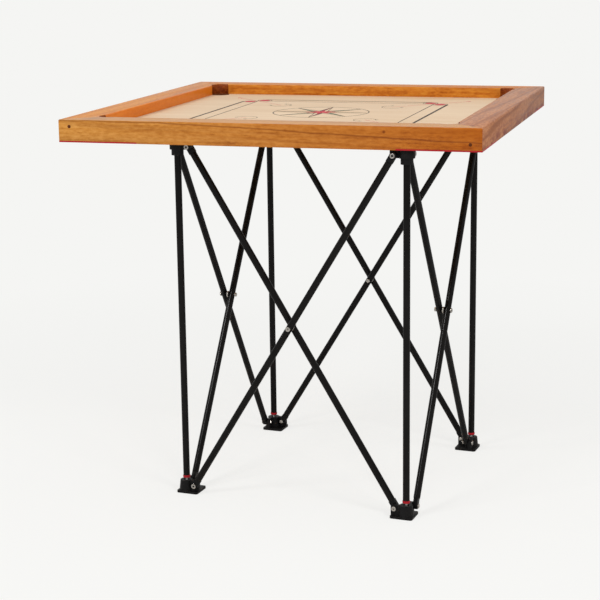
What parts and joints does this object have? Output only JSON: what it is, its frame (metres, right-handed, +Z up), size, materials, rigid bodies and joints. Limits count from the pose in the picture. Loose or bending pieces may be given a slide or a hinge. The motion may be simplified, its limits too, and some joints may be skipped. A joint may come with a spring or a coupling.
{
  "type": "carrom board on folding stand",
  "caption": "Square wooden game board with raised mitred rails and corner pockets, lying on a folding scissor stand of black tubes.",
  "frame": {"origin": "on the floor, below the middle of the board", "axes": "+Z up, +X along the front rail to the right, -Y towards the front rail"},
  "size_m": [0.868, 0.868, 0.7962],
  "materials": {
    "rail_wood": "satin varnish over straight grain",
    "sheet_ply": "polished lacquer over pale plywood",
    "batten_wood": "bare sawn softwood",
    "plate_red": "red gloss paint",
    "dowel_wood": "dark stained end grain",
    "bolt_steel": "nickel plated",
    "pin_steel": "ground steel",
    "plug_red": "moulded nylon",
    "tube_black": "semi-gloss black powder coat",
    "moulded_black": "moulded black nylon"
  },
  "bodies": {
    "foot_fl": {"foot_fl": "moulded_black", "foot_bolts_fl": "bolt_steel"},
    "top_fl": {"top_hub_fl": "moulded_black", "top_bolts_fl": "bolt_steel", "upright_fl": "tube_black", "end_plug_fl": "plug_red", "lock_pin_fl": "pin_steel"},
    "foot_fr": {"foot_fr": "moulded_black", "foot_bolts_fr": "bolt_steel"},
    "top_fr": {"top_hub_fr": "moulded_black", "top_bolts_fr": "bolt_steel", "upright_fr": "tube_black", "end_plug_fr": "plug_red", "lock_pin_fr": "pin_steel"},
    "foot_br": {"foot_br": "moulded_black", "foot_bolts_br": "bolt_steel"},
    "top_br": {"top_hub_br": "moulded_black", "top_bolts_br": "bolt_steel", "upright_br": "tube_black", "end_plug_br": "plug_red", "lock_pin_br": "pin_steel"},
    "foot_bl": {"foot_bl": "moulded_black", "foot_bolts_bl": "bolt_steel"},
    "top_bl": {"top_hub_bl": "moulded_black", "top_bolts_bl": "bolt_steel", "upright_bl": "tube_black", "end_plug_bl": "plug_red", "lock_pin_bl": "pin_steel"},
    "front_outer_bar": {"front_outer_bar_tube": "tube_black", "front_outer_bar_ends": "moulded_black", "front_mid_bolt": "bolt_steel"},
    "front_inner_bar": {"front_inner_bar_tube": "tube_black", "front_inner_bar_ends": "moulded_black"},
    "right_outer_bar": {"right_outer_bar_tube": "tube_black", "right_outer_bar_ends": "moulded_black", "right_mid_bolt": "bolt_steel"},
    "right_inner_bar": {"right_inner_bar_tube": "tube_black", "right_inner_bar_ends": "moulded_black"},
    "back_outer_bar": {"back_outer_bar_tube": "tube_black", "back_outer_bar_ends": "moulded_black", "back_mid_bolt": "bolt_steel"},
    "back_inner_bar": {"back_inner_bar_tube": "tube_black", "back_inner_bar_ends": "moulded_black"},
    "left_outer_bar": {"left_outer_bar_tube": "tube_black", "left_outer_bar_ends": "moulded_black", "left_mid_bolt": "bolt_steel"},
    "left_inner_bar": {"left_inner_bar_tube": "tube_black", "left_inner_bar_ends": "moulded_black"},
    "board": {"rail_front": "rail_wood", "rail_right": "rail_wood", "rail_back": "rail_wood", "rail_left": "rail_wood", "playing_sheet": "sheet_ply", "battens": "batten_wood", "corner_plates": "plate_red", "corner_dowels": "dowel_wood"}
  },
  "joints": [
    {"name": "fold", "type": "hinge", "parent": "foot_fl", "child": "front_outer_bar", "pos_m": [-0.18041, -0.3716, 0.0185], "axis": [-0.0941, -0.9956, 0], "range_deg": [0, 29]},
    {"name": "top_fr_pivot", "type": "hinge", "parent": "front_outer_bar", "child": "top_fr", "pos_m": [0.25963, -0.41319, 0.7385], "axis": [-0.0941, -0.9956, 0], "range_deg": [-29.5, 0.5]},
    {"name": "front_mid_pivot", "type": "hinge", "parent": "front_outer_bar", "child": "front_inner_bar", "pos_m": [0.03961, -0.3924, 0.3785], "axis": [-0.0941, -0.9956, 0], "range_deg": [-58.5, 0.5]},
    {"name": "top_fl_pivot", "type": "hinge", "parent": "front_inner_bar", "child": "top_fl", "pos_m": [-0.18041, -0.3716, 0.7385], "axis": [-0.0941, -0.9956, 0], "range_deg": [-0.5, 29.5]},
    {"name": "foot_fr_pivot", "type": "hinge", "parent": "front_inner_bar", "child": "foot_fr", "pos_m": [0.25963, -0.41319, 0.0185], "axis": [-0.0941, -0.9956, 0], "range_deg": [-0.5, 29.5]},
    {"name": "right_inner_pivot", "type": "hinge", "parent": "top_fr", "child": "right_inner_bar", "pos_m": [0.2896, -0.38841, 0.7385], "axis": [0.9956, -0.0941, 0], "range_deg": [-29.5, 0.5]},
    {"name": "foot_br_pivot", "type": "hinge", "parent": "right_inner_bar", "child": "foot_br", "pos_m": [0.3312, 0.05163, 0.0185], "axis": [0.9956, -0.0941, 0], "range_deg": [-0.5, 29.5]},
    {"name": "right_outer_pivot", "type": "hinge", "parent": "foot_fr", "child": "right_outer_bar", "pos_m": [0.2896, -0.38841, 0.0185], "axis": [0.9956, -0.0941, 0], "range_deg": [-0.5, 29.5]},
    {"name": "top_br_pivot", "type": "hinge", "parent": "right_outer_bar", "child": "top_br", "pos_m": [0.3312, 0.05163, 0.7385], "axis": [0.9956, -0.0941, 0], "range_deg": [-29.5, 0.5]},
    {"name": "left_inner_pivot", "type": "hinge", "parent": "foot_fl", "child": "left_inner_bar", "pos_m": [-0.20519, -0.34163, 0.0185], "axis": [-0.9956, 0.0941, 0], "range_deg": [-29.5, 0.5]},
    {"name": "top_bl_pivot", "type": "hinge", "parent": "left_inner_bar", "child": "top_bl", "pos_m": [-0.1636, 0.09841, 0.7385], "axis": [-0.9956, 0.0941, 0], "range_deg": [-0.5, 29.5]},
    {"name": "left_outer_pivot", "type": "hinge", "parent": "top_fl", "child": "left_outer_bar", "pos_m": [-0.20519, -0.34163, 0.7385], "axis": [-0.9956, 0.0941, 0], "range_deg": [-0.5, 29.5]},
    {"name": "foot_bl_pivot", "type": "hinge", "parent": "left_outer_bar", "child": "foot_bl", "pos_m": [-0.1636, 0.09841, 0.0185], "axis": [-0.9956, 0.0941, 0], "range_deg": [-29.5, 0.5]},
    {"name": "back_outer_pivot", "type": "hinge", "parent": "top_bl", "child": "back_outer_bar", "pos_m": [-0.13363, 0.12319, 0.7385], "axis": [0.0941, 0.9956, 0], "range_deg": [-0.5, 29.5]},
    {"name": "back_inner_pivot", "type": "hinge", "parent": "foot_bl", "child": "back_inner_bar", "pos_m": [-0.13363, 0.12319, 0.0185], "axis": [0.0941, 0.9956, 0], "range_deg": [-29.5, 0.5]},
    {"name": "board_lift", "type": "slide", "parent": "top_fl", "child": "board", "axis": [0, 0, 1], "range_m": [0, 0.3]}
  ],
  "couplings": [
    {"joint": "top_fr_pivot", "follows": "fold", "ratio": -1},
    {"joint": "front_mid_pivot", "follows": "fold", "ratio": -2},
    {"joint": "top_fl_pivot", "follows": "fold", "ratio": 1},
    {"joint": "foot_fr_pivot", "follows": "fold", "ratio": 1},
    {"joint": "right_inner_pivot", "follows": "fold", "ratio": -1},
    {"joint": "foot_br_pivot", "follows": "fold", "ratio": 1},
    {"joint": "right_outer_pivot", "follows": "fold", "ratio": 1},
    {"joint": "top_br_pivot", "follows": "fold", "ratio": -1},
    {"joint": "left_inner_pivot", "follows": "fold", "ratio": -1},
    {"joint": "top_bl_pivot", "follows": "fold", "ratio": 1},
    {"joint": "left_outer_pivot", "follows": "fold", "ratio": 1},
    {"joint": "foot_bl_pivot", "follows": "fold", "ratio": -1},
    {"joint": "back_outer_pivot", "follows": "fold", "ratio": 1},
    {"joint": "back_inner_pivot", "follows": "fold", "ratio": -1}
  ]
}
